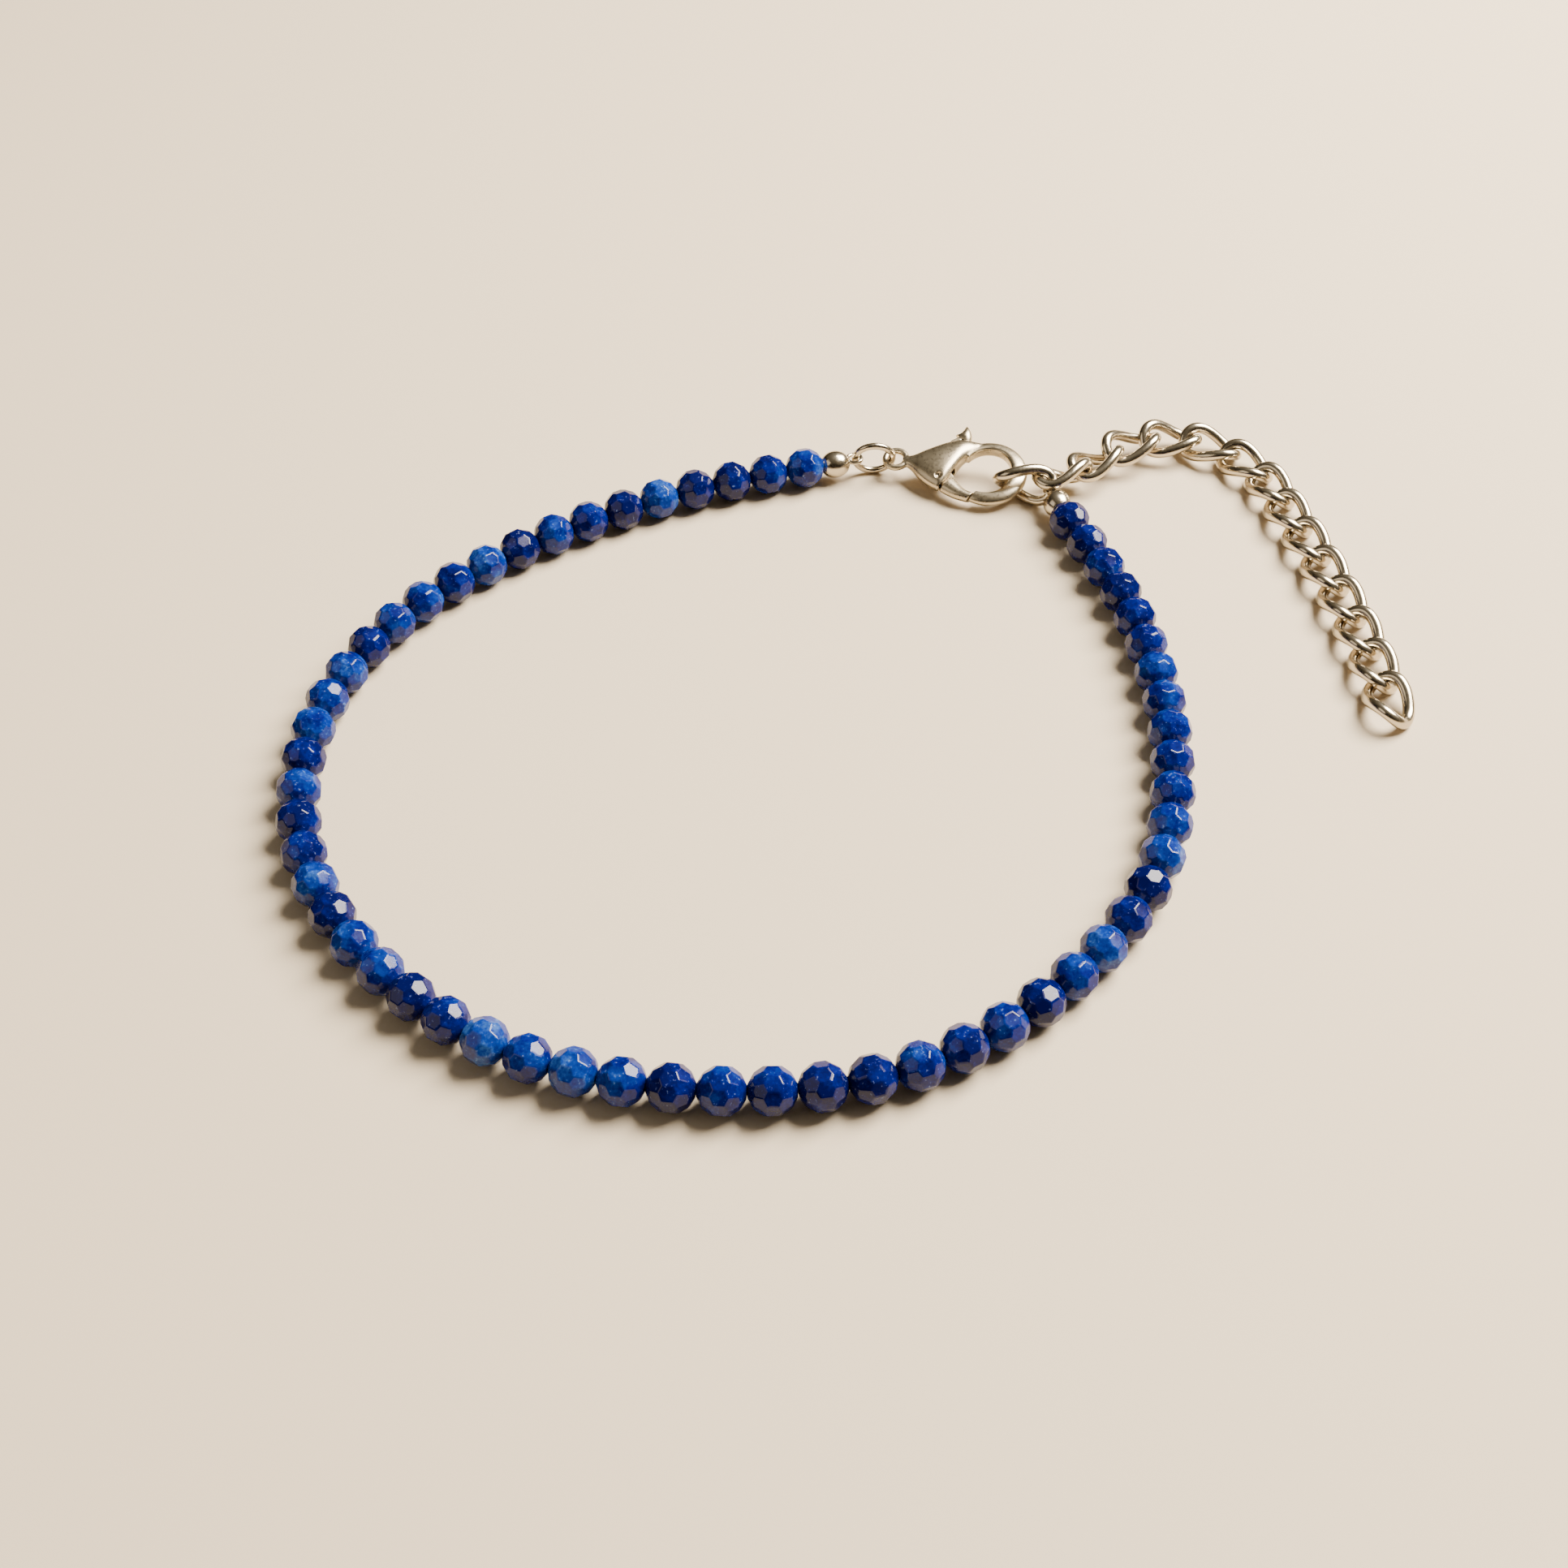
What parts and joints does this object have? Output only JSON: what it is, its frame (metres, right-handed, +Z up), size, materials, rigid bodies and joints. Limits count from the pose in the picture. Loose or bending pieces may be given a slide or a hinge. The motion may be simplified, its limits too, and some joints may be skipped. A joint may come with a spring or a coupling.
{
  "type": "beaded anklet",
  "caption": "Anklet of faceted blue stone beads on a thread, closed by a lobster clasp hooked into a curb extender chain with a free tail.",
  "frame": {"origin": "centre of the anklet's box seen from above, on the surface that it lies on", "axes": "+Z up from that surface, +Y towards the clasp, away from the viewer, +X towards the chain's free tail"},
  "size_m": [0.106, 0.0898, 0.0046],
  "materials": {
    "stone": "polished",
    "silver_tone": "polished"
  },
  "bodies": {
    "anklet": {"bead_string": "stone", "bead_tip_left": "silver_tone", "bead_tip_right": "silver_tone", "jump_ring": "silver_tone", "clasp_body": "silver_tone", "clasp_rivet": "silver_tone", "chain_link_01": "silver_tone", "chain_link_02": "silver_tone", "chain_link_03": "silver_tone", "chain_link_04": "silver_tone", "chain_link_05": "silver_tone", "chain_link_06": "silver_tone", "chain_link_07": "silver_tone", "chain_link_08": "silver_tone", "chain_link_09": "silver_tone", "chain_link_10": "silver_tone", "chain_link_11": "silver_tone", "chain_link_12": "silver_tone", "chain_link_13": "silver_tone", "chain_link_14": "silver_tone", "chain_link_15": "silver_tone"},
    "lever": {"clasp_lever": "silver_tone"}
  },
  "joints": [
    {"name": "clasp_lever_hinge", "type": "hinge", "parent": "anklet", "child": "lever", "pos_m": [0.01065, 0.03712, 0.00179], "axis": [-0.0757, -0.2475, 0.9659], "range_deg": [0, 25], "stiffness_Nm_per_rad": 0.004, "springref_deg": -17.19}
  ]
}
